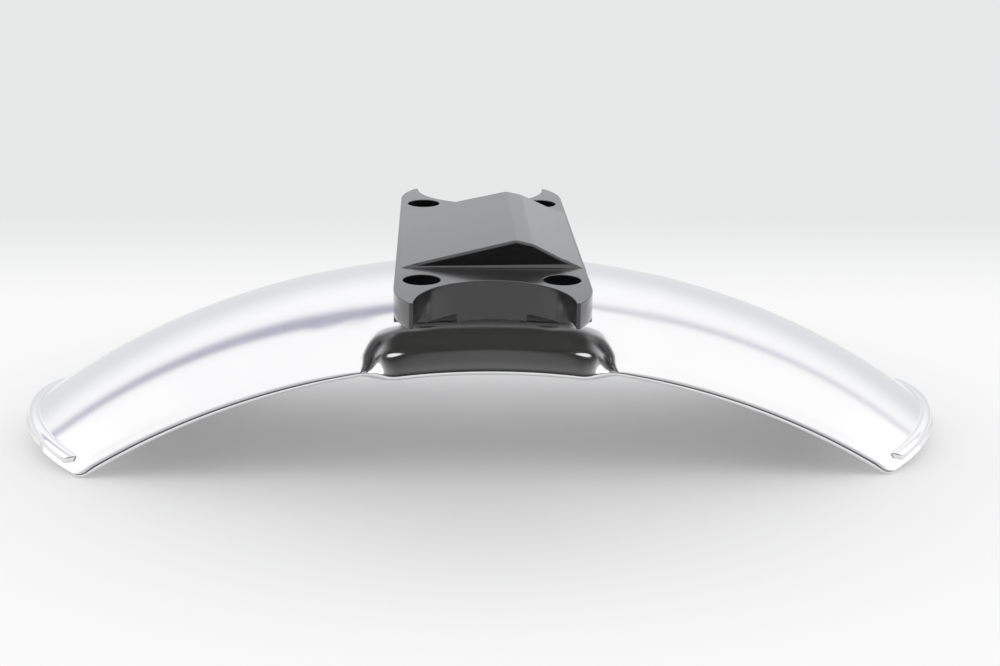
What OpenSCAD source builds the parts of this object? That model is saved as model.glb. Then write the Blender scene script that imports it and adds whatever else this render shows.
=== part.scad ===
// Motorcycle front mudguard: a rolled aluminium blade under a machined fork bracket.
// X runs along the wheel, Y across it and Z up. The floor that the blade stands on is Z = 0.

/* [Blade] */
// Radius of the crown's outer face about the wheel's axis
crown_r = 343.5; // [310:0.5:380]
// Radius of the blade's round cross-section, outer face
section_r = 76; // [70:1:100]
// Width of the blade over its two side edges
blade_w = 117.6; // [108:0.2:124]
// Length of the blade along its crown
crown_len = 438; // [380:2:480]
// Thickness of the sheet
sheet_t = 2; // [1.2:0.1:2.5]
// Diameter of the round roll along each side edge
roll_d = 3; // [2.6:0.1:4]
// Radius of the rounded ends, laid out flat
end_r = 108; // [90:1:160]
// Radius of the four corners between ends and sides
corner_r = 7; // [4:0.5:10]

/* [End beads] */
// Distance from the end of the blade to the bead's middle
bead_inset = 4.6; // [3.8:0.1:7]
// Width of the bead
bead_w = 5; // [4:0.1:6]
// Height of the bead over the sheet
bead_h = 2.2; // [1:0.1:2.5]
// Distance from the blade's sides to the blunt ends of the bead, laid out flat
bead_side_inset = 11.7; // [8:0.1:14]

/* [Side recesses] */
// Width across the two shoulders where the recesses start
shoulder_w = 86.6; // [80:0.2:90]
// Width across the blade's edges at the recesses
recess_w = 100; // [96:0.5:104]
// Depth from the crown to the blade's edge at the recesses
recess_depth = 35.5; // [32:0.5:40]
// Length of a recess at its shoulder
recess_top_len = 83; // [76:1:88]
// Length of a recess at the edge
recess_edge_len = 89; // [84:1:96]
// Length over which a recess blends into the side at its shoulder
recess_top_blend = 13; // [9:0.5:16]
// Length over which a recess blends into the side at the edge
recess_edge_blend = 15; // [12:0.5:20]
// Hollow of a recess's wall between its shoulder and the edge
recess_hollow = 1; // [0:0.1:1.6]

/* [Fork bracket] */
// Thickness of the bracket's plate
plate_t = 10.5; // [8.5:0.5:14]
// Length of the bracket along the wheel
plate_len = 78; // [75:1:90]
// Width of the bracket over its four tips
plate_w = 196; // [190:1:206]
// Radius of the scallops that clear the fork legs
scallop_r = 31; // [28:0.5:32]
// Radius of the four outer corners
plate_corner_r = 37; // [33:1:39]
// Length of the corners, from the tips back to the straight sides
corner_len = 21; // [18:1:24]

/* [Roof] */
// Distance from the bracket's left side to the roof's left foot
roof_left_inset = 2; // [1:0.5:6]
// Distance from the bracket's right side to the roof's right foot
roof_right_inset = 1; // [1:0.5:4]
// Place of the ridge along the wheel
ridge_x = 10.5; // [6:0.5:12]
// Height of the ridge over the plate
ridge_h = 10.8; // [8:0.2:14]
// Width of the flatter facet beside the ridge
facet_w = 7; // [5:0.5:9]
// Drop over the flatter facet
facet_drop = 1.5; // [1:0.1:2.5]
// Width of the shallow strip at the roof's right foot
strip_w = 8.5; // [6:0.5:10]
// Height at which the shallow strip starts
strip_h = 3.4; // [2:0.1:4]
// Distance from the bracket's tips to the roof's gables
gable_inset = 50; // [49:1:54]
// Angle at which the gables lean inwards
gable_lean = 12; // [0:1:20]
// Radius of the fillet at the foot of each gable
gable_fillet = 2; // [1:0.5:5]

/* [Fork mounting] */
// Distance from the bracket's straight sides to the mounting holes
hole_inset_x = 11; // [10.5:0.5:13]
// Distance from the bracket's tips to the mounting holes
hole_inset_y = 32; // [30:0.5:34]
// Bore for the fork bolts
hole_d = 9; // [8:0.1:10]
// Counterbore for the heads of the fork bolts
head_bore_d = 15; // [13:0.5:17]
// Depth of the counterbore
head_bore_depth = 7; // [5:0.5:7.5]
// Height of the pads at the holes, under the plate
pad_h = 2.6; // [1:0.1:3]
// Length of the pads across the wheel
pad_len = 30; // [26:1:30]
// Width of the spine under the plate
spine_w = 28; // [20:1:32]
// Depth of the spine under the plate
spine_h = 5.7; // [3:0.1:7]
// Length of the saddle on the blade's crown
saddle_len = 66; // [60:1:72]
// Width of the saddle on the blade's crown
saddle_w = 46; // [42:1:50]

/* [Blade screws] */
// Distance between the blade screws along the crown
screw_pitch_x = 44; // [36:1:50]
// Distance between the blade screws across the crown, laid out flat
screw_pitch_y = 26; // [20:1:30]
// Diameter of the screws' shanks
screw_d = 6; // [5:0.5:6]
// Length of a screw under its head
screw_len = 10; // [9:0.5:12]
// Diameter of the screws' heads
screw_head_d = 10.5; // [9.5:0.5:12]
// Height of the screws' heads
screw_head_h = 3.3; // [2.5:0.1:4]
// Width of the hexagon socket across its flats
socket_w = 4; // [3:0.5:5]
// Depth of the hexagon socket
socket_depth = 2; // [1:0.1:2.2]
// Diameter of the washers
washer_d = 12; // [11:0.5:14]
// Thickness of the washers
washer_t = 1.2; // [0.8:0.1:1.6]

/* [Fits] */
// Clearance between the bracket's saddle and the blade
seat_gap = 0.1; // [0.05:0.05:0.3]
// Clearance round a shank in the sheet and the washer, on the diameter
shank_gap = 0.5; // [0.3:0.1:1]
// Clearance round a shank in the bracket's thread, on the diameter
thread_gap = 0.1; // [0.05:0.05:0.3]
// Clearance between a flat washer's rim and the curved sheet
washer_gap = 0.1; // [0.1:0.05:0.3]

/* [Hidden] */
$fn = 96;
tiny = 0.01;

// The sheet laid out flat: s runs along the crown and y across it.
half_len = crown_len / 2;
edge_angle = asin(blade_w / 2 / section_r);
half_flat = section_r * edge_angle * PI / 180;
roll_r = roll_d / 2;

// The end is an arc of end_r, and a smaller arc rounds the corner into the side.
corner_angle = asin((half_flat - corner_r) / (end_r - corner_r));
end_centre = half_len - end_r;
corner_s = (end_r - corner_r) * cos(corner_angle);
corner_steps = 5;
function corner_point(k) =
    let (a = corner_angle + (90 - corner_angle) * k / corner_steps)
    [corner_s + corner_r * cos(a), half_flat - corner_r + corner_r * sin(a)];
corner_depth = end_r - norm(corner_point(corner_steps));

// Insets of the rings that follow the end: over the corner, then over the bead.
bead_steps = 8;
bead_start = bead_inset - bead_w / 2;
bead_rings = [for (k = [0 : bead_steps]) bead_start + bead_w * k / bead_steps];
end_margin = 1.5;
follow_depth = bead_start + bead_w + end_margin;
corner_rings = [for (k = [0 : corner_steps])
    [end_r - norm(corner_point(k)), corner_point(k)[1]]];
inner_insets = [for (d = concat(bead_rings, [follow_depth])) if (d > corner_depth + 0.2) d];

// A ring is [crown place, share of the end's bow, radius of the bow, half width].
end_rings = concat([for (c = corner_rings) [half_len - c[0], 1, end_r - c[0], c[1]]],
                   [for (d = inner_insets) [half_len - d, 1, end_r - d, half_flat]]);
bow_r = end_r - follow_depth;
recess_reach = recess_edge_len / 2 + recess_edge_blend;
far_steps = 12;
near_steps = 15;
run_start = half_len - follow_depth;
function run_ring(a) =
    [a, max(0, (a - recess_reach) / (run_start - recess_reach)), bow_r, half_flat];
far_rings = [for (k = [1 : far_steps])
    run_ring(run_start + (recess_reach - run_start) * k / far_steps)];
near_rings = [for (k = [1 : near_steps - 1])
    run_ring(recess_reach * (1 - pow(k / near_steps, 1.25)))];
half_rings = concat(end_rings, far_rings, near_rings);
half_count = len(half_rings);
rings = concat([for (r = half_rings) [-1, r]], [[1, run_ring(0)]],
               [for (k = [half_count - 1 : -1 : 0]) [1, half_rings[k]]]);
ring_count = len(rings);
function ring_s(ring, y) =
    let (r = ring[1]) ring[0] * (r[0] - r[1] * (r[2] - sqrt(r[2] * r[2] - y * y)));

// Points across a ring, from the crown line to the side, as places laid out flat.
shoulder_y = section_r * asin(shoulder_w / 2 / section_r) * PI / 180;
shoulder_blend = 2.6;
crown_steps = 6;
skirt_steps = 2;
roll_start = half_flat - roll_r;
skirt_start = shoulder_y + shoulder_blend;
skirt_end = roll_start - 1.4 * roll_r;
bead_reach = half_flat - bead_side_inset;
bead_end_shares = [0.55, 0.85, 1];
half_places = concat(
    [for (k = [0 : crown_steps - 1]) (shoulder_y - shoulder_blend) * k / crown_steps],
    [for (k = [-1 : 2 / 3 : 1]) shoulder_y + shoulder_blend * k],
    [for (k = [1 : skirt_steps]) skirt_start + (bead_reach - skirt_start) * k / skirt_steps],
    [for (share = bead_end_shares) bead_reach + share * bead_w / 2],
    [skirt_end, roll_start]);
place_count = len(half_places);
places = concat([for (k = [place_count - 1 : -1 : 1]) -half_places[k]], half_places);
across = len(places);

// Smooth step from 0 to 1, and its use over the recess's length.
function smooth(t) = let (u = min(1, max(0, t))) u * u * (3 - 2 * u);
function down_recess(top, edge, f) = top + (edge - top) * min(1, f);
function in_recess(s, f) =
    1 - smooth((abs(s) - down_recess(recess_top_len, recess_edge_len, f) / 2)
               / down_recess(recess_top_blend, recess_edge_blend, f));

// Round section of the blade, as [across, from the wheel's axis].
function arc_section(y) =
    let (a = y / section_r * 180 / PI) [section_r * sin(a), crown_r - section_r * (1 - cos(a))];
shoulder_point = arc_section(shoulder_y);
recess_edge = [recess_w / 2, crown_r - recess_depth];
recess_line = (recess_edge - shoulder_point) / (half_flat - shoulder_y);
recess_inward = [recess_line[1], -recess_line[0]] / norm(recess_line);
function past_shoulder(y) =
    let (b = shoulder_blend, g = y - shoulder_y)
    g < -b ? 0 : g > b ? g : (g + b) * (g + b) / (4 * b);
function section(s, y) =
    let (g = past_shoulder(abs(y)), base = arc_section(abs(y)), f = g / (half_flat - shoulder_y),
         shift = shoulder_point + recess_line * g - arc_section(shoulder_y + g)
                 + recess_inward * recess_hollow * 4 * f * (1 - f),
         share = g == 0 ? 0 : in_recess(s, f),
         p = base + shift * share)
    [y < 0 ? -p[0] : p[0], p[1]];
function skin(s, y) =
    let (p = section(s, y), a = s / crown_r * 180 / PI) [p[1] * sin(a), p[0], p[1] * cos(a)];

// Outward direction of the skin, and the direction across it.
probe = 0.05;
function unit(v) = v / norm(v);
function outward(s, y) =
    unit(cross(skin(s + probe, y) - skin(s - probe, y), skin(s, y + probe) - skin(s, y - probe)));
function sideways(s, y) = unit(skin(s, y + probe) - skin(s, y - probe));

// Height of the end bead over the skin.
function bead(s, y) =
    let (inset = end_r - norm([abs(s) - end_centre, y]), across_bead = (inset - bead_inset) / (bead_w / 2),
         past_end = max(0, abs(y) - bead_reach) / (bead_w / 2),
         q = across_bead * across_bead + past_end * past_end)
    abs(s) < end_centre || q >= 1 ? 0 : bead_h * sqrt(1 - q);

// One closed loop round the sheet at a ring: outer face, roll, inner face, roll.
function ring_loop(ring) =
    let (w = ring[1][3], edge = min(1, max(0, (half_len - ring[1][0] - corner_depth) / 4)),
         d = sheet_t + (roll_d - sheet_t) * edge, r = d / 2, scale_y = (w - r) / roll_start,
         spots = [for (y = places) [ring_s(ring, y * scale_y), y * scale_y]],
         outer = [for (p = spots) skin(p[0], p[1]) + bead(p[0], p[1]) * outward(p[0], p[1])],
         inner = [for (k = [0 : across - 1])
             let (p = spots[k], t = k == 0 || k == across - 1 ? d : sheet_t)
             outer[k] - t * outward(p[0], p[1])],
         far = spots[across - 1], near = spots[0])
    concat(outer, roll_points(far, r, 1), [for (k = [across - 1 : -1 : 0]) inner[k]],
           roll_points(near, r, -1));
roll_steps = 4;
function roll_points(p, r, side) =
    let (c = skin(p[0], p[1]) - r * outward(p[0], p[1]))
    [for (k = [1 : roll_steps - 1])
        let (a = side > 0 ? 180 * k / roll_steps : 180 - 180 * k / roll_steps)
        c + r * (cos(a) * outward(p[0], p[1]) + side * sin(a) * sideways(p[0], p[1]))];

loops = [for (r = rings) ring_loop(r)];
loop_len = len(loops[0]);
blade_points = [for (l = loops) each l];
blade_low = min([for (p = blade_points) p[2]]);
function at(ring, k) = ring * loop_len + k % loop_len;
skin_faces = [for (i = [0 : ring_count - 2], k = [0 : loop_len - 1])
    let (a = at(i, k), b = at(i, k + 1), c = at(i + 1, k + 1), d = at(i + 1, k),
         turned = (i < half_count) != (k % (loop_len / 2) < (across - 1) / 2))
    each turned ? [[a, b, c], [a, c, d]] : [[a, b, d], [b, c, d]]];
function inner_index(k) = 2 * across + roll_steps - 2 - k;
function cap(i, first) =
    let (strips = [for (k = [0 : across - 2])
             let (a = at(i, k), b = at(i, k + 1), c = at(i, inner_index(k + 1)), d = at(i, inner_index(k)))
             each [[a, d, c], [a, c, b]]],
         far = [for (k = [inner_index(across - 1) : -1 : across - 1]) at(i, k)],
         near = [for (k = [loop_len : -1 : inner_index(0)]) at(i, k)],
         all = concat(strips, [far], [near]))
    first ? all : [for (f = all) [for (k = [len(f) - 1 : -1 : 0]) f[k]]];
blade_faces = concat(skin_faces, cap(0, true), cap(ring_count - 1, false));

// Heights over the floor.
lift = -blade_low;
land_z = lift + crown_r + plate_t;
under_z = land_z - plate_t;
seat_z = under_z - pad_h;
saddle_r = 3;

// Places of the screws that hold the blade, square to its crown.
screw_spots = [for (x = [-1, 1], y = [-1, 1]) [x * screw_pitch_x / 2, y * screw_pitch_y / 2]];
thread_depth = screw_len - washer_t - sheet_t + 1.5;
washer_sag = section_r - sheet_t - sqrt(pow(section_r - sheet_t, 2) - pow(washer_d / 2, 2)) + washer_gap;

// Puts what is drawn on the Z axis square to the blade's outer face at a spot of the crown.
module on_crown(spot) {
    translate([0, 0, lift])
        rotate([0, spot[0] / crown_r * 180 / PI, 0])
            translate([0, 0, crown_r - section_r])
                rotate([-spot[1] / section_r * 180 / PI, 0, 0])
                    translate([0, 0, section_r])
                        children();
}

// Solid of revolution that the crown's outer face fills, grown by a clearance.
module crown_body(gap) {
    translate([0, 0, lift])
        rotate([90, 0, 0])
            rotate_extrude($fn = 360)
                intersection() {
                    translate([crown_r - section_r, 0])
                        circle(r = section_r + gap, $fn = 240);
                    translate([crown_r - section_r / 2, -section_r])
                        square([section_r, 2 * section_r]);
                }
}

// Places on the bracket that follow its overall size.
hole_pitch_x = plate_len - 2 * hole_inset_x;
hole_pitch_y = plate_w - 2 * hole_inset_y;
corner_start = plate_w / 2 - corner_len;
roof_len = plate_w - 2 * gable_inset;

// Outline of the bracket seen from above.
module plate_outline() {
    difference() {
        intersection() {
            square([plate_len, plate_w], center = true);
            union() {
                square([plate_len, 2 * corner_start], center = true);
                for (x = [-1, 1], y = [-1, 1])
                    translate([x * (plate_len / 2 - plate_corner_r), y * corner_start])
                        circle(r = plate_corner_r, $fn = 180);
            }
        }
        for (y = [-1, 1])
            translate([0, y * plate_w / 2])
                circle(r = scallop_r, $fn = 180);
    }
}

// Section of the roof: a long slope, the ridge, a flatter facet, a steep slope and a shallow strip.
roof_left = -plate_len / 2 + roof_left_inset;
roof_right = plate_len / 2 - roof_right_inset;
module roof_section() {
    polygon([[roof_left, -tiny], [roof_left, 0],
             [ridge_x, ridge_h],
             [ridge_x + facet_w, ridge_h - facet_drop],
             [roof_right - strip_w, strip_h],
             [roof_right, 0], [roof_right, -tiny]]);
}

// What is cut away past a gable: the gable leans, with a fillet at its foot.
gable_foot = roof_len / 2;
fillet_y = gable_foot - gable_fillet * tan(gable_lean) + gable_fillet / cos(gable_lean);
gable_top = ridge_h + 1;
module past_gable() {
    rotate([90, 0, 90])
        linear_extrude(2 * plate_len, center = true) {
            polygon([[fillet_y - gable_fillet * cos(gable_lean), gable_fillet * (1 - sin(gable_lean))],
                     [gable_foot - gable_top * tan(gable_lean), gable_top],
                     [plate_w, gable_top], [plate_w, 0], [fillet_y, 0], [fillet_y, gable_fillet]]);
            translate([fillet_y, gable_fillet])
                circle(r = gable_fillet);
        }
}

module roof() {
    translate([0, 0, land_z])
        difference() {
            rotate([90, 0, 0])
                linear_extrude(2 * fillet_y, center = true)
                    roof_section();
            for (side = [0, 1])
                mirror([0, side, 0])
                    past_gable();
        }
}

// Under the plate: a pad at each pair of holes, a spine to the scallops and the saddle on the crown.
module underside() {
    translate([0, 0, seat_z])
        linear_extrude(pad_h + tiny)
            intersection() {
                plate_outline();
                for (y = [-1, 1])
                    translate([0, y * hole_pitch_y / 2])
                        square([plate_len, pad_len], center = true);
            }
    translate([0, 0, under_z - spine_h])
        linear_extrude(spine_h + tiny)
            intersection() {
                plate_outline();
                square([spine_w, plate_w], center = true);
            }
    translate([0, 0, under_z - spine_h])
        linear_extrude(spine_h + tiny) {
            square([saddle_len, saddle_w - 2 * saddle_r], center = true);
            square([saddle_len - 2 * saddle_r, saddle_w], center = true);
            for (x = [-1, 1], y = [-1, 1])
                translate([x * (saddle_len / 2 - saddle_r), y * (saddle_w / 2 - saddle_r)])
                    circle(r = saddle_r);
        }
}

module fork_bracket() {
    color("dimgray")
        difference() {
            union() {
                translate([0, 0, under_z])
                    linear_extrude(plate_t)
                        plate_outline();
                roof();
                underside();
            }
            crown_body(seat_gap);
            for (x = [-1, 1], y = [-1, 1])
                translate([x * hole_pitch_x / 2, y * hole_pitch_y / 2, 0]) {
                    translate([0, 0, seat_z - 1])
                        cylinder(d = hole_d, h = land_z - seat_z + 2);
                    translate([0, 0, land_z - head_bore_depth])
                        cylinder(d = head_bore_d, h = head_bore_depth + 1);
                }
            for (spot = screw_spots)
                on_crown(spot)
                    translate([0, 0, -1])
                        cylinder(d = screw_d + thread_gap, h = thread_depth + 1);
        }
}

module mudguard_blade() {
    color("silver")
        difference() {
            translate([0, 0, lift])
                polyhedron(points = blade_points, faces = blade_faces, convexity = 10);
            for (spot = screw_spots)
                on_crown(spot)
                    translate([0, 0, -3 * sheet_t])
                        cylinder(d = screw_d + shank_gap, h = 6 * sheet_t);
        }
}

// Button-head screw, pushed up through its washer and the sheet into the bracket.
module blade_screw(spot) {
    color("lightgray")
        on_crown(spot)
            translate([0, 0, -sheet_t - washer_sag - washer_t])
                difference() {
                    union() {
                        cylinder(d = screw_d, h = screw_len);
                        intersection() {
                            translate([0, 0, -screw_head_h])
                                cylinder(d = screw_head_d, h = screw_head_h);
                            translate([0, 0, head_round - screw_head_h])
                                sphere(r = head_round);
                        }
                    }
                    translate([0, 0, -screw_head_h - 1])
                        cylinder(d = socket_w / cos(30), h = socket_depth + 1, $fn = 6);
                }
}
head_crown = 0.8;
head_round = (pow(screw_head_d / 2, 2) + pow(screw_head_h - head_crown, 2)) / (2 * (screw_head_h - head_crown));

module blade_washer(spot) {
    color("gainsboro")
        on_crown(spot)
            translate([0, 0, -sheet_t - washer_sag - washer_t])
                difference() {
                    cylinder(d = washer_d, h = washer_t);
                    translate([0, 0, -1])
                        cylinder(d = screw_d + shank_gap, h = washer_t + 2);
                }
}

mudguard_blade();
fork_bracket();
blade_screw(screw_spots[0]);  // blade_screw_1
blade_screw(screw_spots[1]);  // blade_screw_2
blade_screw(screw_spots[2]);  // blade_screw_3
blade_screw(screw_spots[3]);  // blade_screw_4
blade_washer(screw_spots[0]);  // blade_washer_1
blade_washer(screw_spots[1]);  // blade_washer_2
blade_washer(screw_spots[2]);  // blade_washer_3
blade_washer(screw_spots[3]);  // blade_washer_4
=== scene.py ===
# Motorcycle front mudguard: a polished sheet blade under a black machined fork bracket.
# X runs along the wheel, Y across it and Z up. The blade stands on the floor at Z = 0.
import math

import bmesh
import bpy
from mathutils import Matrix, Vector


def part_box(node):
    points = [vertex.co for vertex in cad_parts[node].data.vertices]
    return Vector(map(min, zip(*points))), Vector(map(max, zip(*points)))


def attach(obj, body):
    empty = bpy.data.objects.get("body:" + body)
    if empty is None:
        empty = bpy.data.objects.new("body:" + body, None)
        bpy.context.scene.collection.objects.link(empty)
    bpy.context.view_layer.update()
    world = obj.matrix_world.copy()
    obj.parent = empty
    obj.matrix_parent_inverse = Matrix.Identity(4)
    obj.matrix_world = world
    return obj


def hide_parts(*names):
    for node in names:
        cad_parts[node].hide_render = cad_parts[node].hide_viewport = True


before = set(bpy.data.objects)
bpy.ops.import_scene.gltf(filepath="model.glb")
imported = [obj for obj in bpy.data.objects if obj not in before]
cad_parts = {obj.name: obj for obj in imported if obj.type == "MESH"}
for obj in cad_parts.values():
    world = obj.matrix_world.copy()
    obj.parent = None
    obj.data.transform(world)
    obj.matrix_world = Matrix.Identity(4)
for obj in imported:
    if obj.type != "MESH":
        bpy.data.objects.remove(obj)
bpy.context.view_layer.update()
MM = 0.001

# Heights taken from the frame.
bracket_top = Vector(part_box("fork_bracket")[1]).z
blade_top = Vector(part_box("mudguard_blade")[1]).z

# The blade is part of a ring round the wheel's axis: the radius of its crown, of its round section,
# and its sheet. Laid out flat its ends are arcs, and a pressed bead follows each.
CROWN_RADIUS = 343.5 * MM
SECTION_RADIUS = 76.0 * MM
AXIS_DROP = CROWN_RADIUS - blade_top
SHEET = 2.0 * MM
HALF_LENGTH = 219.0 * MM
END_RADIUS = 108.0 * MM
BEAD_INSET = 4.6 * MM
BEAD_HALF_WIDTH = 2.8 * MM
BEAD_HEIGHT = 2.2 * MM
BEAD_REACH = 56.7 * MM
BEAD_END_ROUND = 1.5 * MM
BEAD_FULLNESS = 0.6

# Where the blade is trued: clear of its end edges, of its rolled sides and of the recesses.
CLEAR_OF_END = (0.5 * MM, 1.2 * MM)
CLEAR_OF_SIDE = (60.0 * MM, 63.0 * MM)
CLEAR_OF_RECESS = (72.0 * MM, 80.0 * MM)

# The part of each side that is softened: along the wheel, across it and from the wheel's axis.
RECESS_LENGTH = 68.0 * MM
RECESS_START = 35.0 * MM
RECESS_EDGE_RADIUS = 317.5 * MM
RECESS_EASE = 6

# Rings of edges, by their place along the crown, that the middle of the blade can spare.
SPARE_RINGS = (0.0, 9.745 * MM, 19.122 * MM)
RING_MARGIN = 0.05 * MM

# How CAD faces are joined: loose corners, triangles into fours, and level faces into one.
MERGE_DISTANCE = 0.002 * MM
JOIN_ANGLE = math.radians(179)
LEVEL_ANGLE = math.radians(0.5)
BLADE_LEVELS = 2

# How the bracket's edges are rounded, and where its roof stands over its flat top, the land.
EDGE_BREAK = 0.6 * MM
GABLE_ROUND = 2.0 * MM
RIDGE_ROUND = 1.6 * MM
ROUND_SEGMENTS = 3
RIDGE_TURN = 9.0
BROKEN_EDGE_TURN = 28.0
SMOOTH_ANGLE = math.radians(25)
RIDGE_RISE = 10.8 * MM
GABLE_SET_BACK = 3.0 * MM
GABLE_FILLET_RISE = 1.6 * MM
RIDGE_EDGE_RISE = 5.0 * MM
LAND = bracket_top - RIDGE_RISE
LAND_MARGIN = 0.01 * MM
ROOF_MARGIN = 0.1 * MM
LEVEL_EDGE_RISE = 0.05 * MM

# Camera of the photograph, worked out from the bracket's holes, tips and corners.
CAMERA_PLACE = (-0.0235, -0.6397, 0.2550)
CAMERA_YAW = 2.69
CAMERA_PITCH = 18.18
CAMERA_ROLL = 0.84
SENSOR_WIDTH_MM = 36
FOCAL_LENGTH_MM = 54
NEAREST_SEEN = 0.01
FURTHEST_SEEN = 100


def make_camera():
    data = bpy.data.cameras.new("camera")
    data.sensor_width = SENSOR_WIDTH_MM
    data.lens = FOCAL_LENGTH_MM
    data.clip_start = NEAREST_SEEN
    data.clip_end = FURTHEST_SEEN
    camera = bpy.data.objects.new("camera", data)
    bpy.context.scene.collection.objects.link(camera)
    turn = (Matrix.Rotation(math.radians(-CAMERA_YAW), 4, "Z")
            @ Matrix.Rotation(math.radians(90 - CAMERA_PITCH), 4, "X")
            @ Matrix.Rotation(math.radians(CAMERA_ROLL), 4, "Z"))
    camera.matrix_world = Matrix.Translation(CAMERA_PLACE) @ turn
    bpy.context.scene.camera = camera


# Shader maths as expressions: a Socket wraps a node's output and adds Math nodes.
class Socket:
    def __init__(self, nodes, out):
        self.nodes = nodes
        self.out = out

    def _math(self, operation, first, second):
        return self.nodes.add("ShaderNodeMath", {"operation": operation}, {0: first, 1: second})

    def __add__(self, other):
        return self._math("ADD", self, other)

    def __radd__(self, other):
        return self._math("ADD", other, self)

    def __sub__(self, other):
        return self._math("SUBTRACT", self, other)

    def __rsub__(self, other):
        return self._math("SUBTRACT", other, self)

    def __mul__(self, other):
        return self._math("MULTIPLY", self, other)

    def __rmul__(self, other):
        return self._math("MULTIPLY", other, self)

    def __abs__(self):
        return self._math("ABSOLUTE", self, 0.0)

    def clamp(self):
        return self.nodes.add("ShaderNodeClamp", {}, {"Value": self})


# The middle part of a noise, which a spread stretches over its own range.
NOISE_LOW = 0.3
NOISE_HIGH = 0.7
FINE_BUMP = 0.1 * MM


class Nodes:
    """The node tree of a material or a world, with one method that adds any node."""

    def __init__(self, owner):
        owner.use_nodes = True
        self.owner = owner
        self.tree = owner.node_tree
        self.shader = self.tree.nodes.get("Principled BSDF") or self.tree.nodes["Background"]

    def add(self, kind, settings, values, output=0):
        node = self.tree.nodes.new(kind)
        for key, value in settings.items():
            setattr(node, key, value)
        for key, value in values.items():
            self.put(node.inputs[key], value)
        return Socket(self, node.outputs[output])

    def put(self, target, value):
        if isinstance(value, Socket):
            self.tree.links.new(value.out, target)
        else:
            target.default_value = value

    def set(self, **values):
        for key, value in values.items():
            self.put(self.shader.inputs[key.replace("_", " ")], value)

    def place(self, scale=(1, 1, 1)):
        """Places on the object itself, which the piece carries with it."""
        coordinates = self.add("ShaderNodeTexCoord", {}, {}, "Object")
        return self.add("ShaderNodeMapping", {}, {"Vector": coordinates, "Scale": scale})

    def noise(self, place, scale, detail=3.0):
        return self.add("ShaderNodeTexNoise", {}, {"Vector": place, "Scale": scale, "Detail": detail})

    def step(self, value, low, high):
        """A soft step from 0 to 1 between two limits, which may be sockets."""
        return self.add("ShaderNodeMapRange", {"interpolation_type": "SMOOTHSTEP"},
                        {"Value": value, "From Min": low, "From Max": high})

    def spread(self, value, low, high):
        """A noise stretched over a range."""
        return self.add("ShaderNodeMapRange", {},
                        {"Value": value, "From Min": NOISE_LOW, "From Max": NOISE_HIGH,
                         "To Min": low, "To Max": high})

    def mix(self, factor, first, second):
        return self.add("ShaderNodeMix", {"data_type": "RGBA"}, {0: factor, 6: first, 7: second}, 2)

    def bump(self, height, strength):
        return self.add("ShaderNodeBump", {},
                        {"Height": height, "Strength": strength, "Distance": FINE_BUMP})


# The sheet's finish: its two tones, the lines from the rolls and how far its sheen varies.
SHEET_TONES = ((0.87, 0.87, 0.885, 1), (0.90, 0.90, 0.905, 1))
SHEET_LINES = (10, 1400, 1400)
SHEET_LINE_BUMP = 0.012
SHEET_CLOUD = 14.0
SHEET_ROUGHNESS = (0.13, 0.17)
SHEET_CLOUD_ROUGHNESS = (-0.01, 0.01)


def rolled_aluminium():
    """Sheet aluminium, polished, with very fine lines from the rolls along the wheel."""
    nodes = Nodes(bpy.data.materials.new("rolled_aluminium"))
    lines = nodes.noise(nodes.place(SHEET_LINES), 1.0)
    cloud = nodes.noise(nodes.place(), SHEET_CLOUD)
    tone = nodes.mix(nodes.spread(cloud, 0.0, 1.0), *SHEET_TONES)
    sheen = nodes.spread(lines, *SHEET_ROUGHNESS) + nodes.spread(cloud, *SHEET_CLOUD_ROUGHNESS)
    nodes.set(Base_Color=tone, Metallic=1.0, Roughness=sheen, Normal=nodes.bump(lines, SHEET_LINE_BUMP))
    return nodes.owner


# The bracket's finish: black with a fine grain, under a satin coat.
BLACK_TONES = ((0.008, 0.008, 0.009, 1), (0.012, 0.012, 0.013, 1))
BLACK_GRAIN = 2600.0
BLACK_GRAIN_BUMP = 0.03
BLACK_CLOUD = 45.0
BLACK_ROUGHNESS = (0.17, 0.22)
BLACK_IOR = 1.68
SATIN_COAT = 0.6
SATIN_ROUGHNESS = 0.13
SATIN_IOR = 1.55

# Below the bracket's top and between its outer sides are the milled scallop walls, which are duller.
BRACKET_SIDE = (31.5 * MM, 33.0 * MM)
WALL_DEPTH = 0.6 * MM


def black_anodised():
    """Machined aluminium under satin black anodising, dull on the milled scallop walls."""
    nodes = Nodes(bpy.data.materials.new("black_anodised"))
    place = nodes.place()
    grain = nodes.noise(place, BLACK_GRAIN, detail=2.0)
    cloud = nodes.noise(place, BLACK_CLOUD)
    tone = nodes.mix(nodes.spread(cloud, 0.0, 1.0), *BLACK_TONES)
    along, height = (nodes.add("ShaderNodeSeparateXYZ", {}, {0: place}, part) for part in (0, 2))
    satin = nodes.step(abs(along), *BRACKET_SIDE) + nodes.step(height, LAND - WALL_DEPTH, LAND)
    nodes.set(Base_Color=tone, Roughness=nodes.spread(cloud, *BLACK_ROUGHNESS), IOR=BLACK_IOR,
              Coat_Weight=satin.clamp() * SATIN_COAT, Coat_Roughness=SATIN_ROUGHNESS,
              Coat_IOR=SATIN_IOR, Normal=nodes.bump(grain, BLACK_GRAIN_BUMP))
    return nodes.owner


STEEL_TONE = (0.56, 0.56, 0.57, 1)
STEEL_CLOUD = 220.0
STEEL_ROUGHNESS = (0.24, 0.36)


def plain_steel():
    """Turned stainless steel of the screws and washers."""
    nodes = Nodes(bpy.data.materials.new("plain_steel"))
    cloud = nodes.noise(nodes.place(), STEEL_CLOUD)
    nodes.set(Base_Color=STEEL_TONE, Metallic=1.0, Roughness=nodes.spread(cloud, *STEEL_ROUGHNESS))
    return nodes.owner


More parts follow.
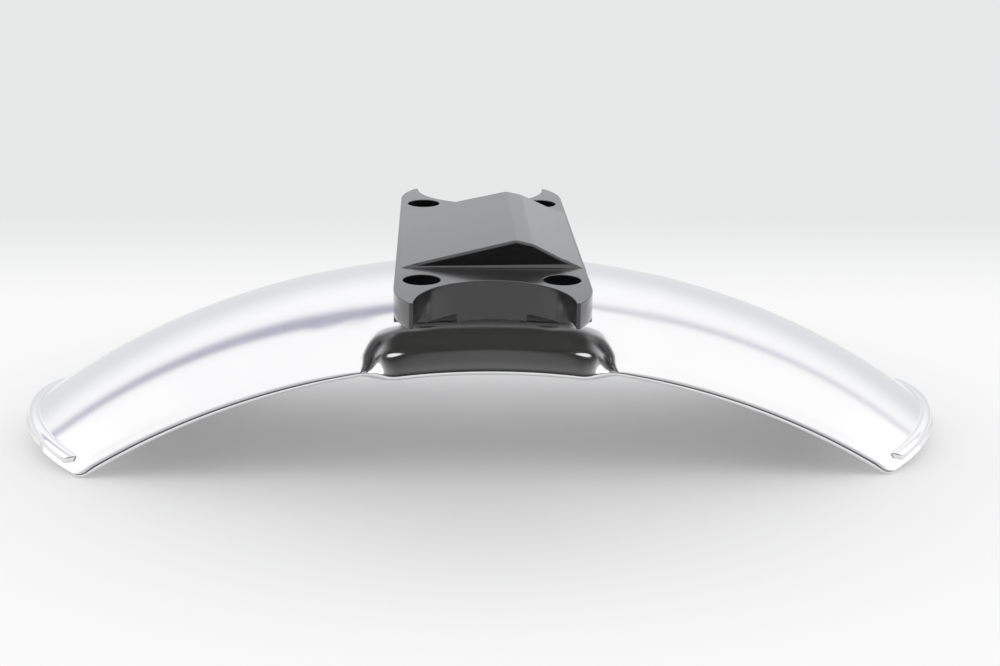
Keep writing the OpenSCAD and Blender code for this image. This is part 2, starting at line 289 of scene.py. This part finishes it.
# Tones of the floor: lit and shadowed round the object, where a small share of a plain glowing tone is
# painted fill light that lightens the object's shadow, and plain pale further out.
FLOOR_SIZE = 12
FLOOR_COLOUR = (0.93, 0.93, 0.925, 1)
FLOOR_ROUGHNESS = 0.6
FRONT_FLOOR_TONE = (0.955, 0.955, 0.955, 1)
REAR_FLOOR_TONE = (0.80, 0.81, 0.81, 1)
FLOOR_SHADOW_REACH = (0.30, 0.24)
LIT_FLOOR = (0.45, 1.0)
# The share of the plain glowing tone kept round the object: painted fill light on the object's shadow.
PAINTED_FILL_SHARE = 0.1
REAR_FLOOR = (0.16, 0.42)


def floor_white():
    """A pale floor that takes the object's shadow, with a little painted glow that lightens that shadow,
    and is a plain tone further out.
    """
    nodes = Nodes(bpy.data.materials.new("floor_white"))
    nodes.set(Base_Color=FLOOR_COLOUR, Roughness=FLOOR_ROUGHNESS)
    centred = nodes.place((1 / FLOOR_SHADOW_REACH[0], 1 / FLOOR_SHADOW_REACH[1], 1))
    away = nodes.add("ShaderNodeVectorMath", {"operation": "LENGTH"}, {0: centred}, 1)
    behind = nodes.add("ShaderNodeSeparateXYZ", {}, {0: nodes.place()}, 1)
    tone = nodes.mix(nodes.step(behind, *REAR_FLOOR), FRONT_FLOOR_TONE, REAR_FLOOR_TONE)
    seen = nodes.add("ShaderNodeLightPath", {}, {}, "Is Camera Ray")
    for ray in ("Is Glossy Ray", "Is Transmission Ray"):
        seen = seen + nodes.add("ShaderNodeLightPath", {}, {}, ray)
    plain = nodes.add("ShaderNodeEmission", {}, {"Color": tone, "Strength": 1.0})
    lit = Socket(nodes, nodes.shader.outputs[0])
    # Round the object a small share of the plain tone glows as painted fill light on the shadow; further
    # out the plain tone is the whole floor.
    fill_and_backdrop_share = PAINTED_FILL_SHARE + nodes.step(away, *LIT_FLOOR) * (1 - PAINTED_FILL_SHARE)
    surface = nodes.add("ShaderNodeMixShader", {},
                        {0: seen.clamp() * fill_and_backdrop_share, 1: lit, 2: plain})
    nodes.put(nodes.tree.nodes["Material Output"].inputs["Surface"], surface)
    return nodes.owner


def only(piece):
    """Selects one piece and makes it the active one."""
    bpy.ops.object.select_all(action="DESELECT")
    piece.select_set(True)
    bpy.context.view_layer.objects.active = piece


def merged_copy(node_name, piece_name):
    """A CAD node's shape as a new piece, with its loose triangles joined."""
    piece = bpy.data.objects.new(piece_name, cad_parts[node_name].data.copy())
    bpy.context.scene.collection.objects.link(piece)
    piece.data.materials.clear()
    only(piece)
    bpy.ops.object.mode_set(mode="EDIT")
    bpy.ops.mesh.select_all(action="SELECT")
    bpy.ops.mesh.remove_doubles(threshold=MERGE_DISTANCE)
    bpy.ops.object.mode_set(mode="OBJECT")
    return piece


def finish_piece(piece, node_name, material):
    piece.data.materials.append(material)
    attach(piece, "root")
    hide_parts(node_name)


def apply_modifier(piece, kind, **settings):
    modifier = piece.modifiers.new(kind.lower(), kind)
    for key, value in settings.items():
        setattr(modifier, key, value)
    only(piece)
    bpy.ops.object.modifier_apply(modifier=modifier.name)


def soft_step(value, low, high):
    share = min(1.0, max(0.0, (value - low) / (high - low)))
    return share * share * (3 - 2 * share)


def laid_flat(place):
    """A point of the blade by its places along the crown and across it, and its height over the skin."""
    x, y, z = place
    from_axis = math.hypot(x, z + AXIS_DROP)
    out = from_axis - (CROWN_RADIUS - SECTION_RADIUS)
    along = CROWN_RADIUS * math.atan2(x, z + AXIS_DROP)
    across = SECTION_RADIUS * math.atan2(y, out)
    return along, across, math.hypot(out, y) - SECTION_RADIUS


def outward(along, across):
    """The direction straight out of the blade's skin."""
    turn = along / CROWN_RADIUS
    lean = across / SECTION_RADIUS
    return Vector((math.sin(turn) * math.cos(lean), math.sin(lean), math.cos(turn) * math.cos(lean)))


def end_inset(along, across):
    """How far a place lies in from the blade's rounded end."""
    return END_RADIUS - math.hypot(abs(along) - (HALF_LENGTH - END_RADIUS), across)


def bead_height(along, across):
    """Height of the pressed end bead over the skin, with its blunt end."""
    aside = (end_inset(along, across) - BEAD_INSET) / BEAD_HALF_WIDTH
    past_end = max(0.0, abs(across) - BEAD_REACH) / BEAD_END_ROUND
    fall = aside * aside + past_end * past_end
    return BEAD_HEIGHT * max(0.0, 1 - fall) ** BEAD_FULLNESS


def true_up(piece):
    """Sets the blade's two skins at their exact heights, with the beads pressed in."""
    normals = [vertex.normal.copy() for vertex in piece.data.vertices]
    for vertex, normal in zip(piece.data.vertices, normals):
        along, across, height = laid_flat(vertex.co)
        share = (soft_step(end_inset(along, across), *CLEAR_OF_END)
                 * soft_step(abs(along), *CLEAR_OF_RECESS)
                 * (1 - soft_step(abs(across), *CLEAR_OF_SIDE)))
        if share > 0:
            out = outward(along, across)
            wanted = bead_height(along, across) - (0 if normal.dot(out) > 0 else SHEET)
            vertex.co += out * (wanted - height) * share


def edit_by(piece, select_type):
    """Opens a piece for editing with nothing selected, and gives its mesh."""
    bpy.ops.object.mode_set(mode="EDIT")
    bpy.ops.mesh.select_mode(type=select_type)
    bpy.ops.mesh.select_all(action="DESELECT")
    return bmesh.from_edit_mesh(piece.data)


def thin_middle(piece):
    """Dissolves every other ring of edges in the middle of the blade, where its section is the same."""
    mesh = edit_by(piece, "EDGE")
    for edge in mesh.edges:
        places = [abs(laid_flat(vertex.co)[0]) for vertex in edge.verts]
        spare = any(max(abs(place - ring) for place in places) < RING_MARGIN for ring in SPARE_RINGS)
        if spare and all(len(face.verts) == 4 for face in edge.link_faces):
            edge.select_set(True)
    bpy.ops.mesh.dissolve_edges(use_verts=True)
    bpy.ops.object.mode_set(mode="OBJECT")


def ease_recesses(piece):
    """Softens the shoulders and walls of the two pressed recesses."""
    mesh = edit_by(piece, "VERT")
    for vertex in mesh.verts:
        x, y, z = vertex.co
        in_recess = abs(x) < RECESS_LENGTH and abs(y) > RECESS_START
        if in_recess and math.hypot(x, z + AXIS_DROP) > RECESS_EDGE_RADIUS:
            vertex.select_set(True)
    bpy.ops.mesh.vertices_smooth(factor=0.5, repeat=RECESS_EASE)
    bpy.ops.object.mode_set(mode="OBJECT")


def make_blade(material):
    """The sheet blade, with its faces joined into fours, softened at the recesses and smoothed."""
    piece = merged_copy("mudguard_blade", "blade_sheet")
    bpy.ops.object.mode_set(mode="EDIT")
    bpy.ops.mesh.tris_convert_to_quads(face_threshold=JOIN_ANGLE, shape_threshold=JOIN_ANGLE)
    bpy.ops.object.mode_set(mode="OBJECT")
    thin_middle(piece)
    ease_recesses(piece)
    apply_modifier(piece, "SUBSURF", levels=BLADE_LEVELS, render_levels=BLADE_LEVELS,
                   boundary_smooth="PRESERVE_CORNERS")
    true_up(piece)
    only(piece)
    bpy.ops.object.shade_smooth()
    finish_piece(piece, "mudguard_blade", material)


def edge_round(edge):
    """How far an edge of the bracket is rounded: more on the roof's gables and along its ridge."""
    if len(edge.link_faces) != 2:
        return 0.0
    turn = math.degrees(edge.calc_face_angle())
    first, second = (vertex.co for vertex in edge.verts)
    low, high = sorted((first.z, second.z))
    on_roof = low > LAND - LAND_MARGIN and high > LAND + ROOF_MARGIN
    if on_roof and edge.is_convex and abs(first.y - second.y) < GABLE_SET_BACK:
        if turn > BROKEN_EDGE_TURN and high - low > LEVEL_EDGE_RISE:
            height = (low + high) / 2 - LAND
            return GABLE_ROUND * min(1.0, height / GABLE_FILLET_RISE)
    elif low > LAND + RIDGE_EDGE_RISE and edge.is_convex and turn > RIDGE_TURN:
        return RIDGE_ROUND
    return EDGE_BREAK if turn > BROKEN_EDGE_TURN else 0.0


def make_bracket(material):
    """The machined bracket, with every sharp edge broken."""
    piece = merged_copy("fork_bracket", "bracket_body")
    bpy.ops.object.mode_set(mode="EDIT")
    bpy.ops.mesh.dissolve_limited(angle_limit=LEVEL_ANGLE)
    bpy.ops.object.mode_set(mode="OBJECT")
    mesh = bmesh.new()
    mesh.from_mesh(piece.data)
    weight = mesh.edges.layers.float.new("bevel_weight_edge")
    for edge in mesh.edges:
        edge[weight] = edge_round(edge) / GABLE_ROUND
    mesh.to_mesh(piece.data)
    mesh.free()
    apply_modifier(piece, "BEVEL", width=GABLE_ROUND, segments=ROUND_SEGMENTS, limit_method="WEIGHT",
                   use_clamp_overlap=False, offset_type="WIDTH")
    only(piece)
    bpy.ops.object.shade_smooth_by_angle(angle=SMOOTH_ANGLE)
    apply_modifier(piece, "WEIGHTED_NORMAL", keep_sharp=True)
    finish_piece(piece, "fork_bracket", material)


def dress_hardware(material):
    """The screws and washers keep their CAD shapes and get their finish."""
    for name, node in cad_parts.items():
        if name.startswith("blade_screw") or name.startswith("blade_washer"):
            node.data.materials.clear()
            node.data.materials.append(material)


def make_floor(material):
    bpy.ops.object.select_all(action="DESELECT")
    bpy.ops.mesh.primitive_plane_add(size=FLOOR_SIZE, location=(0, 0, 0))
    floor = bpy.context.active_object
    floor.name = "floor"
    floor.data.materials.append(material)


# The studio, by the angle over the rear horizon, in degrees: a pale rear that grows lighter with
# height, a bluish gap, the bright overhead box, a pale high front and a dark low front.
REAR_LOW_TONE = (0.80, 0.81, 0.83, 1)
REAR_HIGH_TONE = (1.08, 1.08, 1.09, 1)
REAR_RISE = (17, 50)
GAP_TONE = (0.46, 0.45, 0.55, 1)
GAP_START = 71
GAP_START_LEAN = 20
GAP_START_EDGE = 9
LEFT_GAP_END = 84
LEFT_GAP_END_LEAN = 27
RIGHT_GAP_END = 75
RIGHT_GAP_END_LEAN = 20
RIGHT_GAP_SHARE = 0.75
GAP_END_EDGE = 4
GAP_SIDES = (-0.08, 0.12)
OVERHEAD_TONE = (1.09, 1.09, 1.09, 1)
FRONT_TONE = (0.62, 0.62, 0.63, 1)
FRONT_START = (119, 126)
LOW_FRONT_TONE = (0.035, 0.035, 0.033, 1)
LOW_FRONT_START = (130, 163)

# The plain tone that the camera sees past the floor.
BACKDROP_TONE = (0.93, 0.93, 0.93, 1)

# A soft box on each side of the object.
SIDE_DISTANCE = 1.3
SIDE_FORWARD = 0.1
SIDE_HEIGHT = 0.5
SIDE_SIZE = 0.5
SIDE_RADIANCE = 2.0


def side_box(name, side):
    """A square area lamp of a stated radiance, which metal mirrors and the camera doesn't see."""
    data = bpy.data.lights.new(name, "AREA")
    data.shape = "RECTANGLE"
    data.size = SIDE_SIZE
    data.size_y = SIDE_SIZE
    data.energy = SIDE_RADIANCE * math.pi * SIDE_SIZE * SIDE_SIZE
    lamp = bpy.data.objects.new(name, data)
    bpy.context.scene.collection.objects.link(lamp)
    place = Matrix.Translation((side * SIDE_DISTANCE, -SIDE_FORWARD, SIDE_HEIGHT))
    lamp.matrix_world = place @ Matrix.Rotation(side * math.pi / 2, 4, "Y")
    lamp.visible_camera = False


def make_world():
    """The studio's tones round the object."""
    world = bpy.data.worlds.new("studio")
    bpy.context.scene.world = world
    nodes = Nodes(world)
    direction = nodes.add("ShaderNodeTexCoord", {}, {}, "Generated")
    across, back, up = (nodes.add("ShaderNodeSeparateXYZ", {}, {0: direction}, part) for part in range(3))
    turn = nodes.add("ShaderNodeMath", {"operation": "ARCTAN2"}, {0: up, 1: back}) * math.degrees(1)
    aside = abs(across)
    right = nodes.step(across, *GAP_SIDES)
    gap_start = GAP_START - aside * GAP_START_LEAN
    left_end = LEFT_GAP_END - aside * LEFT_GAP_END_LEAN
    right_end = RIGHT_GAP_END - aside * RIGHT_GAP_END_LEAN
    gap_end = left_end + right * (right_end - left_end)
    gap = nodes.step(turn, gap_start - GAP_START_EDGE / 2, gap_start + GAP_START_EDGE / 2)
    gap = gap * (1 - right * (1 - RIGHT_GAP_SHARE))
    tone = nodes.mix(nodes.step(turn, *REAR_RISE), REAR_LOW_TONE, REAR_HIGH_TONE)
    tone = nodes.mix(gap, tone, GAP_TONE)
    tone = nodes.mix(nodes.step(turn, gap_end, gap_end + GAP_END_EDGE), tone, OVERHEAD_TONE)
    tone = nodes.mix(nodes.step(turn, *FRONT_START), tone, FRONT_TONE)
    tone = nodes.mix(nodes.step(turn, *LOW_FRONT_START), tone, LOW_FRONT_TONE)
    seen = nodes.add("ShaderNodeLightPath", {}, {}, "Is Camera Ray")
    nodes.put(nodes.shader.inputs["Color"], nodes.mix(seen, tone, BACKDROP_TONE))


make_camera()
make_blade(rolled_aluminium())
make_bracket(black_anodised())
dress_hardware(plain_steel())
make_floor(floor_white())
make_world()
side_box("left_box", -1)
side_box("right_box", 1)
bpy.context.scene.view_settings.view_transform = "Standard"
